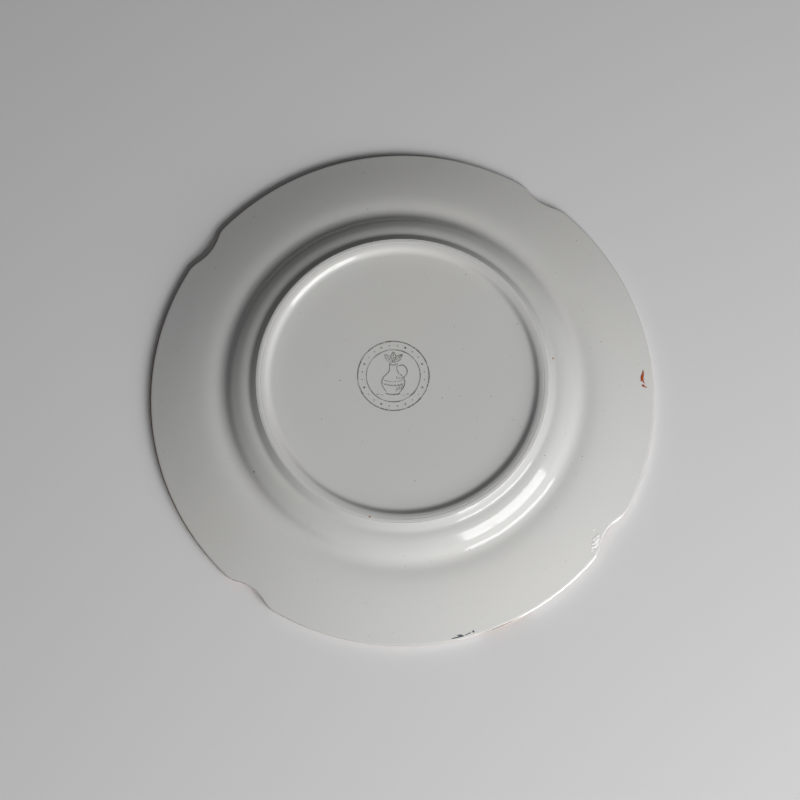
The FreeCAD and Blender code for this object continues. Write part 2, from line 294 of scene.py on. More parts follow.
def outline(size, ways, inset):
    """Distance from the axis to the notched rim in each direction, with the rim inset by a length.

    Away from a notch it is the circle rim - inset. In a notch it is where the ray meets a tangent circle of
    radius q, whose middle is c from the axis and d off the ray: c cos d + sqrt(q^2 - c^2 sin^2 d) on a
    corner, and the same with a minus in the hollow. Inset adds to the hollow's radius and takes from the
    corner's.
    """
    rim = size.radius - inset
    hollow = size.notch_radius + inset
    corner = size.notch_corner - inset
    far = size.radius - size.notch_depth + size.notch_radius
    near = size.radius - size.notch_corner
    both = size.notch_radius + size.notch_corner
    half = math.acos((near ** 2 + far ** 2 - both ** 2) / (2 * near * far))
    step = 2 * math.pi / size.notches
    off = np.abs((ways - size.first_notch + step / 2) % step - step / 2)
    share = corner / both
    join = np.arctan2(near * math.sin(half) * (1 - share), near * math.cos(half) * (1 - share) + far * share)
    turned = near * np.sin(off - half)
    on_corner = near * np.cos(off - half) + np.sqrt(np.maximum(corner ** 2 - turned ** 2, 0))
    in_hollow = far * np.cos(off) - np.sqrt(np.maximum(hollow ** 2 - (far * np.sin(off)) ** 2, 0))
    return np.where(off > half, rim, np.where(off > join, on_corner, in_hollow))


# ---- closed surfaces ----
class Shape:
    """Closed surfaces gathered into one mesh.

    Each is a grid of points, rows by columns. Its columns close on themselves. Its rows close too, or the
    first and last row are one point each. The faces are turned outwards by the sign of the volume.
    """

    def __init__(self):
        self.points = []
        self.marks = []
        self.faces = []
        self.count = 0

    def add(self, grid, marks, rows_close=False):
        """One closed surface; marks is a grid of three values that its material reads."""
        rows, columns = grid.shape[:2]
        if rows_close:
            index = np.arange(rows * columns).reshape(rows, columns)
            points, values = grid.reshape(-1, 3), marks.reshape(-1, 3)
            lower, upper = index, np.roll(index, -1, axis=0)
            tips = np.zeros((0, 3), int)
        else:
            index = np.arange((rows - 2) * columns).reshape(rows - 2, columns) + 1
            ends = [0, (rows - 2) * columns + 1]
            points = np.concatenate([grid[0, :1], grid[1:-1].reshape(-1, 3), grid[-1, :1]])
            values = np.concatenate([marks[0, :1], marks[1:-1].reshape(-1, 3), marks[-1, :1]])
            lower, upper = index[:-1], index[1:]
            beside = np.roll(index, -1, axis=1)
            first = np.stack([np.full(columns, ends[0]), beside[0], index[0]], axis=1)
            last = np.stack([np.full(columns, ends[1]), index[-1], beside[-1]], axis=1)
            tips = np.concatenate([first, last])
        quads = np.stack([lower, np.roll(lower, -1, axis=1), np.roll(upper, -1, axis=1), upper], axis=-1)
        quads = quads.reshape(-1, 4)
        corners = np.concatenate([quads[:, :3], quads[:, [0, 2, 3]], tips])
        a, b, c = (points[corners[:, k]] for k in range(3))
        if np.einsum("ij,ij->", a, np.cross(b, c)) < 0:
            quads, tips = quads[:, ::-1], tips[:, ::-1]
        self.faces += (quads + self.count).tolist() + (tips + self.count).tolist()
        self.points.append(points)
        self.marks.append(values)
        self.count += len(points)

    def finish(self, name, material, node):
        """Makes the object, lets it ride on the plate's one body and hides its CAD node, if it has one."""
        mesh = bpy.data.meshes.new(name)
        mesh.from_pydata(np.concatenate(self.points).tolist(), [], self.faces)
        marks = mesh.attributes.new("stroke", "FLOAT_VECTOR", "POINT")
        marks.data.foreach_set("vector", np.concatenate(self.marks).astype(np.float32).ravel())
        mesh.shade_smooth()
        mesh.materials.append(material)
        piece = bpy.data.objects.new(name, mesh)
        bpy.context.scene.collection.objects.link(piece)
        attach(piece, "root")
        if node:
            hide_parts(node)
        return piece


def ring_ways(count):
    """Directions round the plate, evenly spaced."""
    return np.linspace(0, 2 * math.pi, count, endpoint=False)


def side_rows(section, side, ways, radii, blend_from, lip_steps):
    """One side of the plate from its middle parts to the outermost of its lip, rows by directions.

    The rows are circles up to blend_from, then go over to the outline inset by 6 mm, follow it out to the
    lip's rounding, and go round that: an angle a along it is inset by q (1 - sin a) and dropped by
    q (1 - cos a), where q is the rounding.
    """
    size = section.size
    inset_start = 6 * MM
    rounding = size.lip_round if side == "face" else size.lip_under
    target = outline(size, ways, inset_start)
    rows = [np.full(len(ways), r) for r in radii]
    rows += [blend_from + (target - blend_from) * t for t in np.linspace(0, 1, 7)]
    rows += [outline(size, ways, d) for d in np.linspace(inset_start, rounding, 6)[1:]]
    drops = [0.0] * len(rows)
    for angle in np.linspace(0, math.pi / 2, lip_steps + 1)[1:]:
        rows.append(outline(size, ways, rounding * (1 - math.sin(angle))))
        drops.append(rounding * (1 - math.cos(angle)))
    radius = np.array(rows)
    x, y = radius * np.cos(ways), radius * np.sin(ways)
    toward = -1 if side == "face" else 1
    return np.stack([x, y, section.height(side, x, y) + toward * np.array(drops)[:, None]], axis=-1)


def normals_of(grid):
    """Unit normals of a grid of rows by directions: the way along the rows crossed with the way round."""
    along = np.gradient(grid, axis=0)
    around = np.roll(grid, -1, axis=1) - np.roll(grid, 1, axis=1)
    normal = np.cross(along, around)
    return normal / np.maximum(np.linalg.norm(normal, axis=-1, keepdims=True), 1e-12)


def coat(outer, thickness, keep):
    """A closed coat: the outer grid, then its inner wall, which is every keep-th row moved inwards and
    taken backwards. Rows run from a middle point to an edge and back to a middle point. The two rows at the
    edge are joined by a half round."""
    rows = np.unique(np.concatenate([np.arange(0, len(outer), keep), [len(outer) - 1]]))
    sunk = normals_of(outer) * thickness
    inner = (outer - sunk)[rows]
    inner[0] = inner[0].mean(axis=0) * [0, 0, 1]
    last = outer[-1] - outer[-2]
    last *= abs(thickness) * 0.3 / np.linalg.norm(last, axis=-1, keepdims=True)
    turns = np.linspace(0, math.pi, 7)[1:-1, None, None]
    edge = outer[-1] - sunk[-1] * (1 - np.cos(turns)) / 2 + last * np.sin(turns)
    edge[..., 2] = np.maximum(edge[..., 2], 0.005 * MM)
    return np.concatenate([outer, edge, inner[::-1]])


# ---- brush strokes ----
def stroke(section, side, line, half_width, seed, thickness=None, streak=0.12, around=14, steep=2.2):
    """A flattened brush stroke lying on one side of the plate, as a closed surface.

    Round the stroke at angle a, a point is half_width cos a to the side of its line, and the upper half
    stands sin a times steep of the paint's thickness over the glaze, and at most all of it, so that paint
    ends in a steep edge. Where the lip's rounding q begins, the surface falls away by
    q - (q^2 - d^2)^(1/2), with d the distance into the rounding.
    """
    thickness = film if thickness is None else thickness
    line = np.asarray(line, float)
    way = np.gradient(line, axis=0)
    way /= np.maximum(np.linalg.norm(way, axis=1, keepdims=True), 1e-9)
    across = np.stack([-way[:, 1], way[:, 0]], axis=1)
    angle = np.linspace(0, 2 * math.pi, around, endpoint=False)
    share = np.cos(angle)
    plan = line[:, None, :] + across[:, None, :] * (share[None, :] * half_width[:, None])[..., None]
    lift = np.clip(np.sin(angle) * steep, 0, 1)[None, :] * np.ones(len(line))[:, None]
    along = np.linspace(0, 1, len(line))
    ridge = 1 - streak * (0.5 + 0.5 * np.sin(9 * share[None, :] + 5 * along[:, None] + seed))
    up = 1 if side == "face" else -1
    lip = section.size.lip_round if side == "face" else section.size.lip_under
    into = np.clip(np.hypot(plan[..., 0], plan[..., 1]) - section.size.radius + lip, 0, 0.98 * lip)
    fall = lip - np.sqrt(lip ** 2 - into ** 2)
    height = section.height(side, plan[..., 0], plan[..., 1])
    height += up * (film_gap + thickness * lift * ridge - fall)
    marks = np.stack(np.broadcast_arrays(along[:, None], share[None, :], np.float64(seed)), axis=-1)
    return np.concatenate([plan, height[..., None]], axis=-1), marks


def swell(count, blunt=0.5):
    """Half widths that grow from nothing and shrink back: sin to a power. A small power is blunt-ended."""
    return np.sin(np.linspace(0, math.pi, count)) ** blunt


def straight(start, end, count, bow=0.0):
    """A line between two plan places that bows to its left by a share of its length."""
    share = np.linspace(0, 1, count)[:, None]
    start, end = np.asarray(start, float), np.asarray(end, float)
    side = np.array([-(end - start)[1], (end - start)[0]])
    return start + (end - start) * share + side * bow * np.sin(math.pi * share)


def round_spot(section, side, middle, radius, seed, thickness=None, stretch=1.0, way=0.0, steep=2.2):
    """A dab: a short stroke whose half width follows a circle, so that its outline is round or oval."""
    angle = np.linspace(0, math.pi, 15)
    reach = np.array([math.cos(way), math.sin(way)]) * radius * stretch
    line = np.asarray(middle, float) - reach * np.cos(angle)[:, None]
    return stroke(section, side, line, radius * np.sin(angle), seed, thickness, 0.05, 14, steep)


def polar(radius, way):
    """The plan place at this distance and direction."""
    return np.array([radius * math.cos(way), radius * math.sin(way)])


def axes(way):
    """Unit plan vectors to the right and upwards in a view from below that is turned this way."""
    return polar(1.0, way), polar(1.0, way - math.pi / 2)


def closed_line(section, side, radius, half_width, wobble, seed, thickness=None, middle=(0, 0), count=360):
    """A painted ring whose radius and width wander: three waves of different length round it."""
    ways = ring_ways(count)
    wander = np.sin(2 * ways + seed) + 0.6 * np.sin(5 * ways + 2 * seed) + 0.4 * np.sin(11 * ways + 3 * seed)
    radii = radius + wobble * wander
    widths = half_width * (1 + 0.16 * np.sin(7 * ways + seed) + 0.10 * np.sin(17 * ways))
    line = np.asarray(middle) + np.stack([radii * np.cos(ways), radii * np.sin(ways)], axis=1)
    return stroke(section, side, line, widths, seed, thickness)


# ---- shader maths ----
class Wire:
    """A shader value that takes part in sums like a number. Each step adds one Math node."""

    def __init__(self, recipe, socket):
        self.recipe = recipe
        self.socket = socket

    def step(self, operation, *values):
        return self.recipe.node("ShaderNodeMath", {"operation": operation}, dict(enumerate(values)))

    def __add__(self, other):
        return self.step("ADD", self, other)

    def __sub__(self, other):
        return self.step("SUBTRACT", self, other)

    def __rsub__(self, other):
        return self.step("SUBTRACT", other, self)

    def __mul__(self, other):
        return self.step("MULTIPLY", self, other)

    def __pow__(self, other):
        return self.step("POWER", self, other)

    def __gt__(self, other):
        return self.step("GREATER_THAN", self, other)

    def __abs__(self):
        return self.step("ABSOLUTE", self)

    __radd__ = __add__
    __rmul__ = __mul__


class Recipe:
    """The nodes of a new material or world, and the one way in which they are put into it."""

    def __init__(self, name, kind="materials"):
        self.owner = getattr(bpy.data, kind).new(name)
        self.owner.use_nodes = True
        self.tree = self.owner.node_tree
        self.tree.nodes.clear()

    def node(self, kind, settings=None, sockets=None, output=0):
        """Adds a node with its settings, then its sockets' values or links, and gives one output."""
        made = self.tree.nodes.new(kind)
        for key, value in (settings or {}).items():
            setattr(made, key, value)
        for key, value in (sockets or {}).items():
            if isinstance(value, Wire):
                self.tree.links.new(value.socket, made.inputs[key])
            else:
                made.inputs[key].default_value = value
        return Wire(self, made.outputs[output]) if made.outputs else made

    def where(self):
        """Places on the piece, in metres."""
        return self.node("ShaderNodeTexCoord", output="Object")

    def also(self, wire, output):
        """Another output of the node that a wire comes from."""
        return Wire(self, wire.socket.node.outputs[output])

    def parts(self, vector):
        """A vector's three values."""
        first = self.node("ShaderNodeSeparateXYZ", sockets={0: vector})
        return [self.also(first, k) for k in range(3)]

    def vector(self, x, y, z):
        """Three values as a vector."""
        return self.node("ShaderNodeCombineXYZ", sockets={0: x, 1: y, 2: z})

    def noise(self, where, scale, detail=2.0):
        """Cloudy noise from 0 to 1."""
        return self.node("ShaderNodeTexNoise", sockets={"Vector": where, "Scale": scale, "Detail": detail})

    def rise(self, value, low, high):
        """0 up to low, 1 from high, and a smooth step between them."""
        return self.node("ShaderNodeMapRange", {"interpolation_type": "SMOOTHSTEP"},
                         {"Value": value, "From Min": low, "From Max": high})

    def blend(self, share, first, second):
        """A colour between two others."""
        four = [tuple(c) + (1.0,) if not isinstance(c, Wire) else c for c in (first, second)]
        return self.node("ShaderNodeMix", {"data_type": "RGBA"}, {0: share, 6: four[0], 7: four[1]}, output=2)

    def bump(self, height, distance, strength=1.0):
        """A normal for a surface raised by height times the distance."""
        return self.node("ShaderNodeBump",
                         sockets={"Strength": strength, "Distance": distance, "Height": height})

    def surface(self, **sockets):
        """The Principled shader, with an underscore in each socket's name for a space."""
        named = {key.replace("_", " "): value for key, value in sockets.items()}
        return self.node("ShaderNodeBsdfPrincipled", sockets=named)

    def done(self, shader, output="ShaderNodeOutputMaterial"):
        """Puts the shader on the surface and gives the material or world."""
        self.node(output, sockets={"Surface": shader})
        return self.owner


def specks(recipe, where, spacing, radius, share):
    """1 inside scattered round specks: the nearest scattered middle is closer than the radius, for the
    share of middles whose own random value is high enough."""
    x, y, _ = recipe.parts(where)
    near = recipe.node("ShaderNodeTexVoronoi", {"voronoi_dimensions": "2D"},
                       {"Vector": recipe.vector(x, y, 0.0), "Scale": 1 / spacing})
    chosen = recipe.parts(recipe.also(near, "Color"))[0] > (1 - share)
    return (1 - recipe.rise(near, 0.5 * radius / spacing, radius / spacing)) * chosen


def glaze_material(look, section):
    """White glaze: cloudy, pooled in the hollows, rippled, with pinholes and iron specks."""
    r = Recipe("white_glaze")
    where = r.where()
    x, y, _ = r.parts(where)
    radius = (x * x + y * y) ** 0.5
    cloud = r.noise(where, 26.0, 3.0)
    pooled = 1 - r.rise(abs(radius - section.valley), 0.5 * MM, 7 * MM)
    tone = r.blend(pooled * (0.35 + cloud * 0.5), look.glaze, look.pooled)
    drift = r.blend(r.rise(r.noise(where, 9.0, 2.0), 0.30, 0.70), (0.985, 0.99, 1.0), (1.0, 0.995, 0.975))
    tone = r.node("ShaderNodeMix", {"data_type": "RGBA", "blend_type": "MULTIPLY"},
                  {0: 1.0, 6: tone, 7: drift}, output=2)
    iron = specks(r, where, 17 * MM, 0.26 * MM, 0.16)
    faint = specks(r, where, 9 * MM, 0.34 * MM, 0.22) * 0.30
    tone = r.blend(iron * 0.75, tone, look.iron)
    tone = r.blend(faint, tone, (0.42, 0.33, 0.24))
    ripple = r.noise(where, 75.0, 1.0)
    peel = r.noise(where, 520.0, 2.0)
    pits = specks(r, where, 6 * MM, 0.22 * MM, 0.30)
    normal = r.bump(ripple * 1.0 + peel * 0.05 - pits * 0.25, 0.10 * MM)
    rough = 0.075 + 0.05 * r.noise(where, 48.0, 3.0) + pits * 0.2
    return r.done(r.surface(Base_Color=tone, Roughness=rough, IOR=1.65, Normal=normal))


def clay_material(look):
    """Bare fired clay: fine-grained, rubbed paler where it stands, greyed by use."""
    r = Recipe("bare_clay")
    where = r.where()
    grain = r.noise(where, 1400.0, 4.0)
    crest = 1 - r.rise(r.parts(where)[2], 0.1 * MM, 0.6 * MM)
    tone = r.blend(r.rise(grain, 0.4, 0.8) * 0.4, look.clay, (0.80, 0.77, 0.71))
    tone = r.blend(crest * (0.98 - 0.10 * grain), tone, look.glaze)
    rough = 0.75 + 0.2 * grain - crest * 0.55
    return r.done(r.surface(Base_Color=tone, Roughness=rough, Normal=r.bump(grain, 0.006 * MM)))


def enamel_material(name, full, thin, cover=0.75):
    """Brushed enamel: streaked along the stroke, and darker along its sides, where the paint gathered."""
    r = Recipe(name)
    stroke_marks = r.node("ShaderNodeAttribute", {"attribute_name": "stroke"}, output="Vector")
    along, across, seed = r.parts(stroke_marks)
    where = r.where()
    streaks = r.noise(r.vector(along * 2.2 + seed * 3.7, across * 5.0, seed * 1.3), 1.6, 3.0)
    gathered = r.rise(abs(across), 0.45, 0.95)
    blot = r.noise(where, 420.0, 3.0)
    density = cover * (0.30 + 0.9 * r.rise(streaks, 0.28, 0.68)) + 0.45 * gathered + 0.35 * (blot - 0.5)
    tone = r.blend(r.rise(density, 0.12, 0.95), thin, full)
    normal = r.bump(streaks + blot * 0.4, 0.03 * MM)
    return r.done(r.surface(Base_Color=tone, Roughness=0.14 + 0.14 * blot, IOR=1.55, Normal=normal))


def print_material(look):
    """Fine print fired into the glaze: the ink is broken, and bare spots show the glaze."""
    r = Recipe("olive_print")
    where = r.where()
    dots = r.noise(where, 1900.0, 3.0)
    worn = r.noise(where, 260.0, 2.0)
    ink = r.rise(dots * 0.65 + worn * 0.5, 0.44, 0.66)
    tone = r.blend(0.28 + 0.62 * ink, look.glaze, look.olive)
    return r.done(r.surface(Base_Color=tone, Roughness=0.12 + 0.1 * dots, IOR=1.52))


def plain_material(name, colour, mottle, rough):
    """A glossy colour with some mottle, for small beads and spots."""
    r = Recipe(name)
    where = r.where()
    cloud = r.noise(where, 900.0, 3.0)
    tone = r.blend(cloud * mottle, colour, (0.80, 0.78, 0.74))
    return r.done(r.surface(Base_Color=tone, Roughness=rough + 0.06 * cloud, IOR=1.52,
                            Normal=r.bump(cloud, 0.02 * MM)))


def one_sided_material(name, colour):
    """A matt sheet, seen only from its front."""
    r = Recipe(name)
    where = r.where()
    tone = r.blend(r.noise(where, 5.0, 2.0), colour, tuple(c * 0.985 for c in colour))
    sheet = r.surface(Base_Color=tone, Roughness=0.8, Normal=r.bump(r.noise(where, 900.0, 2.0), 0.02 * MM))
    behind = r.node("ShaderNodeNewGeometry", output="Backfacing")
    clear = r.node("ShaderNodeBsdfTransparent")
    return r.done(r.node("ShaderNodeMixShader", sockets={0: behind, 1: sheet, 2: clear}))


# ---- pieces ----
def settings():
    """The four groups of settings, and the section that follows from them."""
    scene = bpy.context.scene
    return scene.plate_sizes, scene.plate_paint, scene.plate_finishes, Section(scene.plate_sizes)


def sprigs(size, paint, section):
    """Places, directions and scales of the sprigs: one between each two notches and three in the well."""
    step = 2 * math.pi / size.notches
    middle = (section.shoulder + size.radius) / 2
    found = []
    for k in range(size.notches):
        way = size.first_notch + step * (k + 0.5)
        found.append((polar(middle, way), way + math.pi / 2, 1.0))
    for k in range(3):
        way = math.radians(90 + 120 * k)
        found.append((polar(paint.spray_radius, way), way, paint.centre_scale))
    return found


class Step:
    """A step of the work: it reads the settings and makes its pieces."""

    def execute(self, context):
        self.make(*settings())
        return {"FINISHED"}


class PLATE_OT_clay(Step, Operator):
    """Gives the clay body its bare, fired finish"""
    bl_idname = "plate.clay"
    bl_label = "Clay"

    def make(self, size, paint, look, section):
        body = frame["nodes"]["clay_body"]
        body.data.materials.clear()
        body.data.materials.append(clay_material(look))


class PLATE_OT_glaze(Step, Operator):
    """Lays the white glaze over face, lip and underside, and inside the foot ring"""
    bl_idname = "plate.glaze"
    bl_label = "Glaze"

    def make(self, size, paint, look, section):
        material = glaze_material(look, section)
        ways = ring_ways(COAT_WAYS)
        blend_from = size.radius - 13 * MM
        well = np.concatenate([np.linspace(0, section.valley - 4 * MM, 9)[:-1],
                               np.linspace(section.valley - 4 * MM, section.shoulder + 1 * MM, 40)[:-1],
                               np.linspace(section.shoulder + 1 * MM, blend_from, 12)[:-1]])
        start = np.interp(size.foot_wipe, section.under_line[:, 1], section.under_line[:, 0])
        foot = np.concatenate([np.linspace(start, section.shoulder + 2 * MM, 66)[:-1],
                               np.linspace(section.shoulder + 2 * MM, blend_from, 12)[:-1]])
        face = side_rows(section, "face", ways, well, blend_from, 7)
        under = side_rows(section, "under", ways, foot, blend_from, 7)
        outer = np.concatenate([face, under[::-1]])
        closed = coat(outer, glaze_thickness, KEEP_OUTER)
        shell = Shape()
        shell.add(closed, closed)
        shell.finish("glaze_coat", material, "outer_glaze")

        edge = np.interp(-size.foot_wipe, -section.recess_line[:, 1], section.recess_line[:, 0])
        flat_end = section.recess_line[0, 0]
        radii = np.concatenate([np.linspace(0, flat_end, 9)[:-1], np.linspace(flat_end, edge, 44)])
        x, y = radii[:, None] * np.cos(ways), radii[:, None] * np.sin(ways)
        base = np.stack([x, y, section.height("base", x, y)], axis=-1)
        closed = coat(base, -glaze_thickness, KEEP_BASE)
        disc = Shape()
        disc.add(closed, closed)
        disc.finish("base_coat", material, "base_glaze")


class PLATE_OT_rim_line(Step, Operator):
    """Paints the brown line over the lip"""
    bl_idname = "plate.rim_line"
    bl_label = "Rim line"

    def make(self, size, paint, look, section):
        ways = ring_ways(LINE_WAYS)
        wander = 0.5 * np.sin(3 * ways + 1.0) + 0.3 * np.sin(8 * ways) + 0.25 * np.sin(23 * ways + 2.0)
        inner = paint.rim_line_width * (1 + 0.12 * wander)
        far_side = np.cos(ways - paint.slip_way)
        near_slip = np.exp(-((ways - paint.run_way) / math.radians(5)) ** 2)
        reach = 78 + 60 * np.clip(far_side * 1.6, 0, 1) + 62 * near_slip + 6 * wander
        turned = [np.zeros(len(ways))] * 4 + [np.radians(15 + (reach - 15) * t) for t in np.linspace(0, 1, 9)]
        insets = [inner + (size.lip_round - inner) * t for t in (0.0, 0.12, 0.5, 1.0)]
        rounds = [np.where(a > math.pi / 2, size.lip_under, size.lip_round) for a in turned[4:]]
        insets += [q * (1 - np.sin(a)) for q, a in zip(rounds, turned[4:])]
        turned = np.array(turned)
        radius = np.array([outline(size, ways, d) for d in insets])
        x, y = radius * np.cos(ways), radius * np.sin(ways)
        above = section.height("face", x, y) - size.lip_round * (1 - np.cos(turned))
        below = section.height("under", x, y) + size.lip_under * (1 + np.cos(turned))
        line = np.stack([x, y, np.where(turned > math.pi / 2, below, above)], axis=-1)
        share = np.linspace(0, 1, len(line))
        thick = film * np.clip(np.minimum(share * 8, (1 - share) * 6), 0.08, 1)[:, None, None]
        normal = normals_of(line)
        upper = line + normal * (film_gap + thick)
        lower = line + normal * film_gap
        grid = np.concatenate([upper, lower[::-1]])
        across = np.concatenate([share, share[::-1]])[:, None] * 2 - 1
        marks = np.stack(np.broadcast_arrays(ways[None, :] * 4, across, 1.0), axis=-1)
        band = Shape()
        band.add(grid, marks, rows_close=True)
        material = enamel_material("brown_line", look.brown, (0.44, 0.255, 0.150), cover=0.8)
        band.finish("painted_rim", material, "rim_line")


class PLATE_OT_well_line(Step, Operator):
    """Paints the thin brown line round the well"""
    bl_idname = "plate.well_line"
    bl_label = "Well line"

    def make(self, size, paint, look, section):
        half = paint.well_line_width / 2
        line = Shape()
        made = closed_line(section, "face", paint.well_line_radius - half, half, 0.06 * MM, 0.4)
        line.add(*made, rows_close=True)
        material = enamel_material("brown_well_line", look.brown, (0.44, 0.255, 0.150), cover=0.6)
        line.finish("painted_well_line", material, "well_line")


class PLATE_OT_blossoms(Step, Operator):
    """Paints the five-petalled blossoms, a dab of the brush for each petal and two fine veins over it"""
    bl_idname = "plate.blossoms"
    bl_label = "Blossoms"

    def make(self, size, paint, look, section):
        dabs = Shape()
        for number, (middle, _, scale) in enumerate(sprigs(size, paint, section)):
            for k in range(5):
                seed = number * 5.0 + k
                way = math.radians(90 + 72 * k + 5 * math.sin(3 * seed))
                inner = middle + polar((paint.eye + 0.25 * MM) * scale, way)
                outer = middle + polar((paint.petal * 2.35 + 0.12 * MM * math.sin(seed)) * scale, way)
                share = np.linspace(0, 1, 22)
                widths = paint.petal * scale * 0.80 * np.sin(math.pi * share ** 1.5) ** 0.6
                widths[0] = widths[-1] = 0
                line = straight(inner, outer, 22, 0.05 * math.sin(2 * seed))
                dabs.add(*stroke(section, "face", line, widths, seed, streak=0.35, around=18))
        material = enamel_material("red_petals", look.red, look.thin_red, cover=0.62)
        dabs.finish("painted_blossoms", material, "face_blossoms")


class PLATE_OT_leaves(Step, Operator):
    """Paints the leaves, each as two strokes that meet along its midrib, and the stems between them"""
    bl_idname = "plate.leaves"
    bl_label = "Leaves"

    def make(self, size, paint, look, section):
        blades = Shape()
        for number, (middle, way, scale) in enumerate(sprigs(size, paint, section)):
            sides = (0.0, math.pi) if scale == 1.0 else (0.0,)
            for side in sides:
                root = middle + polar(paint.sprig_reach * scale, way + side)
                for lean in (-1, 1):
                    seed = number * 4.0 + side + lean
                    aim = way + side + lean * paint.leaf_lean
                    tip = root + polar(paint.leaf_length * scale, aim)
                    for half in (-1, 1):
                        offset = polar(paint.leaf_width * scale * 0.21, aim + half * math.pi / 2)
                        line = straight(root, tip, 24, -0.05 * lean)
                        line += offset * swell(24, 0.9)[:, None]
                        widths = paint.leaf_width * scale * 0.20 * swell(24, 0.8)
                        blades.add(*stroke(section, "face", line, widths, seed + half, streak=0.3))
                stem = straight(middle + polar(paint.petal * 2.4 * scale, way + side), root, 12, 0.03)
                blades.add(*stroke(section, "face", stem, 0.16 * MM * scale * swell(12, 0.3), number))
        material = enamel_material("blue_leaves", look.blue, look.thin_blue, cover=0.55)
        blades.finish("painted_leaves", material, "face_leaves")


class PLATE_OT_berries(Step, Operator):
    """Dots the berries and the eyes of the blossoms"""
    bl_idname = "plate.berries"
    bl_label = "Berries"

    def make(self, size, paint, look, section):
        dots = Shape()
        for number, (middle, way, scale) in enumerate(sprigs(size, paint, section)):
            for k in range(5):
                spot = middle + polar(paint.eye * 0.5 * scale, math.radians(72 * k + 20))
                dots.add(*round_spot(section, "face", spot, paint.eye * 0.34 * scale, number * 5.0 + k))
            for side in ((0.0, math.pi) if scale == 1.0 else (0.0,)):
                root = middle + polar(paint.sprig_reach * scale, way + side)
                for step in (0.62, 1.0):
                    spot = root + polar(paint.leaf_length * scale * step + paint.berry, way + side)
                    size_here = paint.berry * scale * (1.0 if step > 0.8 else 0.85)
                    dots.add(*round_spot(section, "face", spot, size_here, number + step))
        material = enamel_material("ochre_dots", look.ochre, (0.74, 0.50, 0.18), cover=0.7)
        dots.finish("painted_berries", material, "face_berries")


class PLATE_OT_mark(Step, Operator):
    """Prints a potter's mark of no maker under the base: a jug with three leaves in two rings with beads"""
    bl_idname = "plate.mark"
    bl_label = "Mark"

    def make(self, size, paint, look, section):
        low, high = mark_box
        centre = np.array([(low.x + high.x) / 2, (low.y + high.y) / 2])
        radius = (high.x - low.x) / 2
        inner = radius - paint.mark_band
        right, up = axes(paint.mark_turn)
        ink = Shape()

        def placed(points):
            """Places in the mark, read from below, as plan places."""
            points = np.asarray(points, float)
            return centre + points[:, :1] * right + points[:, 1:] * up

        def draw(points, width, seed, count=30, blunt=0.25):
            """A printed line through these places, given in shares of the inner ring's radius."""
            line = placed(Curve(np.array(points, float) * inner).even(count))
            widths = width / 2 * swell(count, blunt)
            ink.add(*stroke(section, "base", line, widths, seed, print_film, 0.0, 10))

        def ring(reach, width, seed):
            """A printed ring, this far out to its outer edge."""
            half = width / 2
            made = closed_line(section, "base", reach - half, half, 0.02 * MM, seed, print_film, centre, 180)
            ink.add(*made, rows_close=True)

        line = paint.mark_line
        ring(radius, line * 1.25, 0.3)
        ring(inner, line * 0.9, 1.9)
        band = radius - line / 2 - paint.mark_band / 2
        for k in range(paint.mark_beads):
            way = 2 * math.pi * (k + 0.5) / paint.mark_beads
            bead = (0.46 if k % 3 == 1 else 0.27) * MM
            spot = placed([polar(band, way)])[0]
            ink.add(*round_spot(section, "base", spot, bead, k, print_film))
        for side in (-1, 1):
            draw([(0.15 * side, 0.44), (0.13 * side, 0.30), (0.17 * side, 0.14), (0.36 * side, -0.06),
                  (0.42 * side, -0.28), (0.30 * side, -0.54), (0.20 * side, -0.66)], line, 2.0 + side)
        draw([(-0.17, 0.45), (0.0, 0.40), (0.17, 0.45)], line * 0.9, 4.0)
        draw([(-0.17, 0.45), (0.0, 0.49), (0.17, 0.45)], line * 0.7, 4.5)
        draw([(-0.25, -0.68), (0.0, -0.71), (0.25, -0.68)], line * 1.5, 5.0)
        draw([(0.14, 0.34), (0.34, 0.40), (0.50, 0.22), (0.46, 0.02), (0.36, -0.08)], line, 6.0)
        draw([(-0.38, -0.16), (0.0, -0.24), (0.38, -0.16)], line * 0.7, 6.5)
        draw([(-0.40, -0.30), (0.0, -0.38), (0.40, -0.30)], line * 0.7, 6.7)
        for k in range(5):
            x, foot = 0.10 + 0.055 * k, 0.60 - 0.035 * k
            draw([(x, -0.40 + 0.02 * k), (x + 0.015, -0.48), (x - 0.02, -foot)], line * 0.55, 7.0 + k)
            draw([(x, -0.02 - 0.025 * k), (x + 0.02, -0.08), (x + 0.02, -0.14)], line * 0.55, 8.0 + k)
        for k in range(6):
            low_x, low_y = -0.30 + 0.12 * k, -0.30 - 0.05 * math.cos(0.6 * (k - 2.5))
            spot = placed([(inner * low_x, inner * low_y)])[0]
            ink.add(*round_spot(section, "base", spot, line * 0.45, 9.0 + k, print_film))
        for lean, reach in ((-48, 0.46), (0, 0.42), (48, 0.46)):
            way = math.radians(90 + lean)
            root = np.array([0.0, 0.50])
            tip = root + polar(reach, way)
            side = polar(0.09, way + math.pi / 2)
            middle = (root + tip) / 2
            draw([root, middle + side, tip], line * 0.75, 11.0 + lean)
            draw([root, middle - side, tip], line * 0.75, 12.0 + lean)
            draw([root, middle, tip], line * 0.5, 13.0 + lean)
            for share in (0.35, 0.55, 0.75):
                start = root + (tip - root) * share
                for half in (-1, 1):
                    halfway = start + polar(0.05, way + half * 0.6)
                    end = start + polar(0.09, way + half * 0.9)
                    draw([start, halfway, end], line * 0.4, 14.0 + share, 10)
        for k in range(9):
            x = -0.62 + 0.155 * k
            y = -0.72 - 0.03 * math.sin(2.3 * k)
            draw([(x, y), (x + 0.06, y + 0.025), (x + 0.12, y)], line * 0.6, 15.0 + k, 10)
        ink.finish("printed_mark", print_material(look), "base_mark")


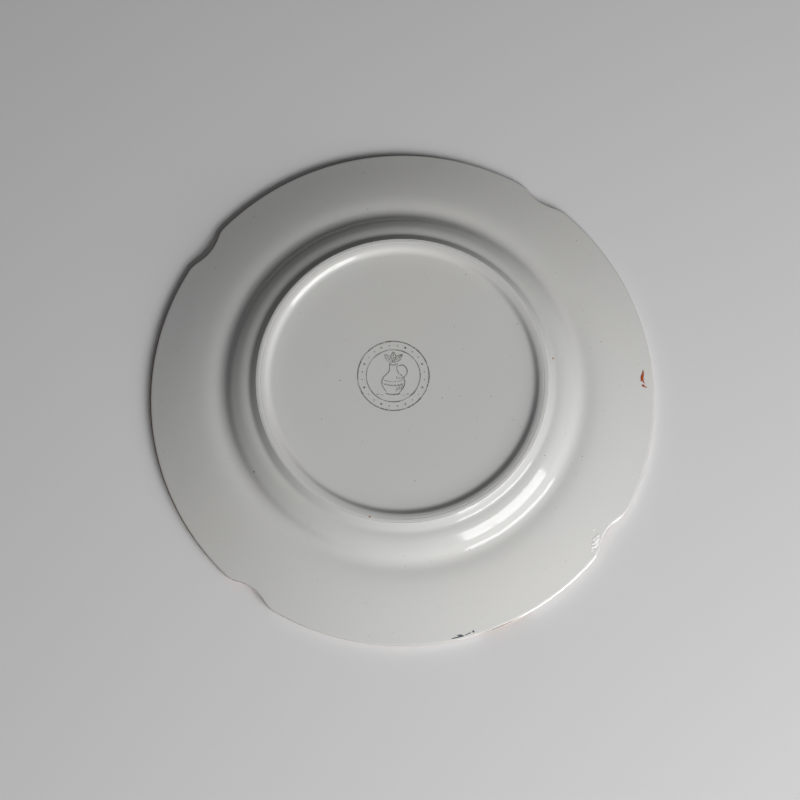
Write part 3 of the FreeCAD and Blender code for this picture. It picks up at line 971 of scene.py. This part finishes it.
class PLATE_OT_strays(Step, Operator):
    """Leaves the painter's slips under the rim: a red fleck with its drop, and a blue smear with its drop"""
    bl_idname = "plate.strays"
    bl_label = "Stray enamel"

    def make(self, size, paint, look, section):
        right, up = axes(paint.mark_turn)

        def slip(shape, middle, points, widths, seed, thickness=film * 0.8):
            """One stroke through places in millimetres right of and above a middle, with its widths."""
            line = Curve(np.array(points, float) * MM).even(26)
            line = middle + line[:, :1] * right + line[:, 1:] * up
            half = np.interp(np.linspace(0, 1, 26), np.linspace(0, 1, len(widths)), widths) * MM / 2
            half = half * swell(26, 0.35)
            shape.add(*stroke(section, "under", line, half, seed, thickness, 0.25))

        low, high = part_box("red_fleck")
        spot = np.array([(low.x + high.x) / 2, (low.y + high.y) / 2]) - (right * 0.3 + up * 0.4) * MM
        fleck = Shape()
        slip(fleck, spot, [(0.45, 3.7), (0.42, 2.4), (0.06, 1.0), (-0.24, 0.0), (-0.06, -0.9), (0.45, -1.7),
                           (0.70, -2.5)], [0.5, 0.9, 1.1, 1.35, 1.25, 0.85, 0.5], 2.2)
        slip(fleck, spot, [(-0.25, -0.3), (-0.5, -0.9), (-0.72, -1.6)], [0.9, 0.75, 0.4], 3.1)
        slip(fleck, spot, [(-0.55, -3.0), (0.1, -3.25), (0.75, -3.6)], [0.6, 1.15, 0.8], 4.3)
        slip(fleck, spot, [(0.6, -3.5), (1.2, -3.75), (1.9, -4.0)], [0.7, 0.5, 0.3], 5.5, film * 0.4)
        material = enamel_material("red_slip", look.red, look.thin_red, cover=0.78)
        fleck.finish("stray_red_fleck", material, "red_fleck")

        low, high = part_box("blue_smudge")
        way = math.atan2((low.y + high.y) / 2, (low.x + high.x) / 2)
        spot = polar(size.radius + 0.4 * MM, way) - right * 0.9 * MM
        smudge = Shape()
        slip(smudge, spot, [(-3.0, 1.3), (-1.7, 1.3), (-0.4, 1.2)], [0.5, 0.75, 0.6], 1.2)
        slip(smudge, spot, [(-5.2, 0.0), (-3.6, 0.4), (-1.6, 0.8), (0.0, 1.1)], [0.45, 0.45, 0.4, 0.3], 2.9)
        slip(smudge, spot, [(0.0, 1.3), (1.3, 1.9), (2.7, 2.5)], [0.35, 0.3, 0.4], 3.3, film * 0.3)
        drop = spot + (right * 3.5 + up * 2.8) * MM
        smudge.add(*round_spot(section, "under", drop, 0.45 * MM, 4.1, film * 0.8))
        material = enamel_material("blue_slip", look.blue, look.thin_blue, cover=0.75)
        smudge.finish("stray_blue_smudge", material, "blue_smudge")


class PLATE_OT_kiln(Step, Operator):
    """Adds what the kiln left: iron spots in the glaze and beads of glaze at one notch"""
    bl_idname = "plate.kiln"
    bl_label = "Kiln marks"

    def make(self, size, paint, look, section):
        spots = Shape()
        # side, millimetres from the axis, degrees round it, radius in millimetres
        dark = [("under", 69.9, 156.7, 0.30), ("base", 51.1, 310.1, 0.17), ("base", 30.1, 323.7, 0.16),
                ("base", 47.5, 30.3, 0.16), ("base", 25.0, 186.5, 0.20), ("base", 24.5, 27.5, 0.15)]
        for number, (side, radius, degrees, spot) in enumerate(dark):
            middle = polar(radius * MM, math.radians(degrees))
            spots.add(*round_spot(section, side, middle, spot * MM, number, 0.04 * MM, 1.2, number))
        material = plain_material("iron_spots", look.iron, 0.55, 0.18)
        spots.finish("iron_spots", material, None)

        warm = Shape()
        for number, (radius, degrees, spot) in enumerate([(57.5, 111.7, 0.34), (61.6, 1.5, 0.36),
                                                          (58.6, 266.8, 0.30)]):
            middle = polar(radius * MM, math.radians(degrees))
            warm.add(*round_spot(section, "under", middle, spot * MM, number, 0.02 * MM, 1.3, number))
        material = plain_material("rust_spots", (0.48, 0.20, 0.075), 0.35, 0.2)
        warm.finish("rust_spots", material, None)

        # millimetres right of and above the notch, radius and height in millimetres
        beads = Shape()
        notch = polar(101.3 * MM, math.radians(48.9))
        right, up = axes(bpy.context.scene.plate_stage.roll)
        for number, (x, y, bead, high) in enumerate([(0.1, 0.9, 0.95, 0.20), (-0.2, -1.0, 0.80, 0.17),
                                                     (-0.95, 1.4, 0.55, 0.11), (-1.35, -0.3, 0.50, 0.10),
                                                     (-1.6, -1.7, 0.50, 0.10), (-1.9, -3.1, 0.40, 0.08),
                                                     (0.5, 2.6, 0.60, 0.12), (-1.0, 5.0, 0.34, 0.07)]):
            middle = notch + (right * x + up * y) * MM
            beads.add(*round_spot(section, "under", middle, bead * MM, number, high * MM, 1.7, -0.63, 1.0))
        # The beads' near-white colour, paler than the glaze they are made of, is a painted highlight on real
        # glossy beads of glaze
        material = plain_material("glaze_beads", (0.95, 0.95, 0.94), 0.1, 0.16)
        beads.finish("glaze_beads", material, None)


class PLATE_OT_stage(Step, Operator):
    """Sets the camera, the two tables and the lights"""
    bl_idname = "plate.stage"
    bl_label = "Stage"

    def make(self, size, paint, look, section):
        scene = bpy.context.scene
        view = scene.plate_stage
        right = Vector((math.cos(view.roll), math.sin(view.roll), 0))
        down = Vector((-math.sin(view.roll), math.cos(view.roll), 0))
        up = Vector((0, 0, -1))
        centre = Vector((0, 0, size.height))

        place = centre + view.distance * (math.sin(view.tilt) * down + math.cos(view.tilt) * up)
        off_right, off_down = -0.88 * MM, 5.07 * MM
        aim = centre + off_right * right + off_down * down
        back = (place - aim).normalized()
        level = (-down).cross(back).normalized()
        lens = bpy.data.cameras.new("camera")
        lens.lens = view.lens
        lens.sensor_width = 36.0
        lens.clip_start, lens.clip_end = 0.01, 20.0
        camera = bpy.data.objects.new("camera", lens)
        turned = Matrix((level, back.cross(level), back)).transposed().to_4x4()
        camera.matrix_world = Matrix.Translation(place) @ turned
        scene.collection.objects.link(camera)
        scene.camera = camera

        def light(name, kind, power, place, aim, colour, **sizes):
            """A lamp at a place, turned to an aim, which the camera doesn't see."""
            lamp = bpy.data.lights.new(name, kind)
            lamp.energy = power
            lamp.color = colour
            for key, value in sizes.items():
                setattr(lamp, key, value)
            made = bpy.data.objects.new(name, lamp)
            made.location = place
            made.rotation_euler = (aim - place).to_track_quat("-Z", "Y").to_euler()
            made.visible_camera = False
            scene.collection.objects.link(made)
            return made

        def pane(name, azimuth, elevation, far, width, height, power):
            """A light by its direction in the camera's view and its height over the table."""
            a, e = math.radians(azimuth), math.radians(elevation)
            way = math.cos(e) * (math.cos(a) * right - math.sin(a) * down) + math.sin(e) * up
            return light(name, "AREA", power, centre + far * way, centre, (1.0, 0.995, 0.985),
                         shape="RECTANGLE", size=width, size_y=height)

        # name, azimuth, elevation, distance, width, height, power
        pane("window_wide", -35.9, 25.0, 1.5, 0.72, 0.64, view.window * 0.71)
        pane("window_narrow", -57.7, 25.0, 1.5, 0.29, 0.64, view.window * 0.29)
        high = pane("bright_wall", -52.0, 40.0, 1.35, 1.0, 0.45, view.bright_wall)
        high.visible_glossy = False
        soft = pane("ceiling", -125.0, 75.0, 0.8, 0.6, 0.6, view.ceiling)
        soft.visible_glossy = False
        light("sun", "SUN", view.sun, Vector((0.5, 0.6, 1.9)), Vector((0, 0, 0)), (1.0, 0.99, 0.97),
              angle=math.radians(24))
        light("softbox", "AREA", 10.0, Vector((0.55, 0.75, 0.95)), Vector((0, 0, 0)), (1.0, 1.0, 1.0),
              shape="RECTANGLE", size=0.55, size_y=0.35)

        r = Recipe("sky", "worlds")
        sky = r.node("ShaderNodeBackground", sockets={"Color": (0.97, 0.985, 1.0, 1), "Strength": view.sky})
        backdrop = r.node("ShaderNodeBackground", sockets={"Color": (0.62, 0.63, 0.645, 1)})
        seen = r.node("ShaderNodeLightPath", output="Is Camera Ray")
        either = r.node("ShaderNodeMixShader", sockets={0: seen, 1: sky, 2: backdrop})
        scene.world = r.done(either, "ShaderNodeOutputWorld")

        def table(name, z, facing, reach):
            """A flat sheet that only the camera sees, and only from its front."""
            corners = [(-reach, -reach, z), (reach, -reach, z), (reach, reach, z), (-reach, reach, z)]
            mesh = bpy.data.meshes.new(name)
            mesh.from_pydata(corners[::facing], [], [(0, 1, 2, 3)])
            mesh.materials.append(one_sided_material(name + "_paint", tuple(view.table_tone)))
            sheet = bpy.data.objects.new(name, mesh)
            sheet.visible_shadow = False
            sheet.visible_diffuse = False
            sheet.visible_glossy = False
            scene.collection.objects.link(sheet)

        table("floor", -0.02 * MM, facing=1, reach=6.0)
        table("table", cad_box[1][2] + 0.05 * MM, facing=-1, reach=2.0)
        scene.view_settings.view_transform = "Standard"


groups = {"plate_sizes": PlateSizes, "plate_paint": PaintSizes, "plate_finishes": Finishes,
          "plate_stage": StageLook}
steps = [PLATE_OT_clay, PLATE_OT_glaze, PLATE_OT_rim_line, PLATE_OT_well_line, PLATE_OT_blossoms,
         PLATE_OT_leaves, PLATE_OT_berries, PLATE_OT_mark, PLATE_OT_strays, PLATE_OT_kiln, PLATE_OT_stage]


class PLATE_PT_steps(Panel):
    """Lists the plate's pieces and settings"""
    bl_label = "Painted plate"
    bl_idname = "PLATE_PT_steps"
    bl_space_type = "VIEW_3D"
    bl_region_type = "UI"
    bl_category = "Plate"

    def draw(self, context):
        for step in steps:
            self.layout.operator(step.bl_idname)
        for name, group in groups.items():
            box = self.layout.box()
            for key in group.__annotations__:
                box.prop(getattr(context.scene, name), key)


def register():
    """Registers the settings, the operators and the panel."""
    for group in groups.values():
        bpy.utils.register_class(group)
    for name, group in groups.items():
        setattr(bpy.types.Scene, name, PointerProperty(type=group))
    for kind in steps + [PLATE_PT_steps]:
        bpy.utils.register_class(kind)


def unregister():
    """Takes them out again."""
    for kind in [PLATE_PT_steps] + steps[::-1]:
        bpy.utils.unregister_class(kind)
    for name, group in groups.items():
        delattr(bpy.types.Scene, name)
        bpy.utils.unregister_class(group)


def main():
    """Makes the plate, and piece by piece."""
    register()
    for step in steps:
        getattr(bpy.ops.plate, step.bl_idname.split(".")[1])()


if __name__ == "__main__":
    main()
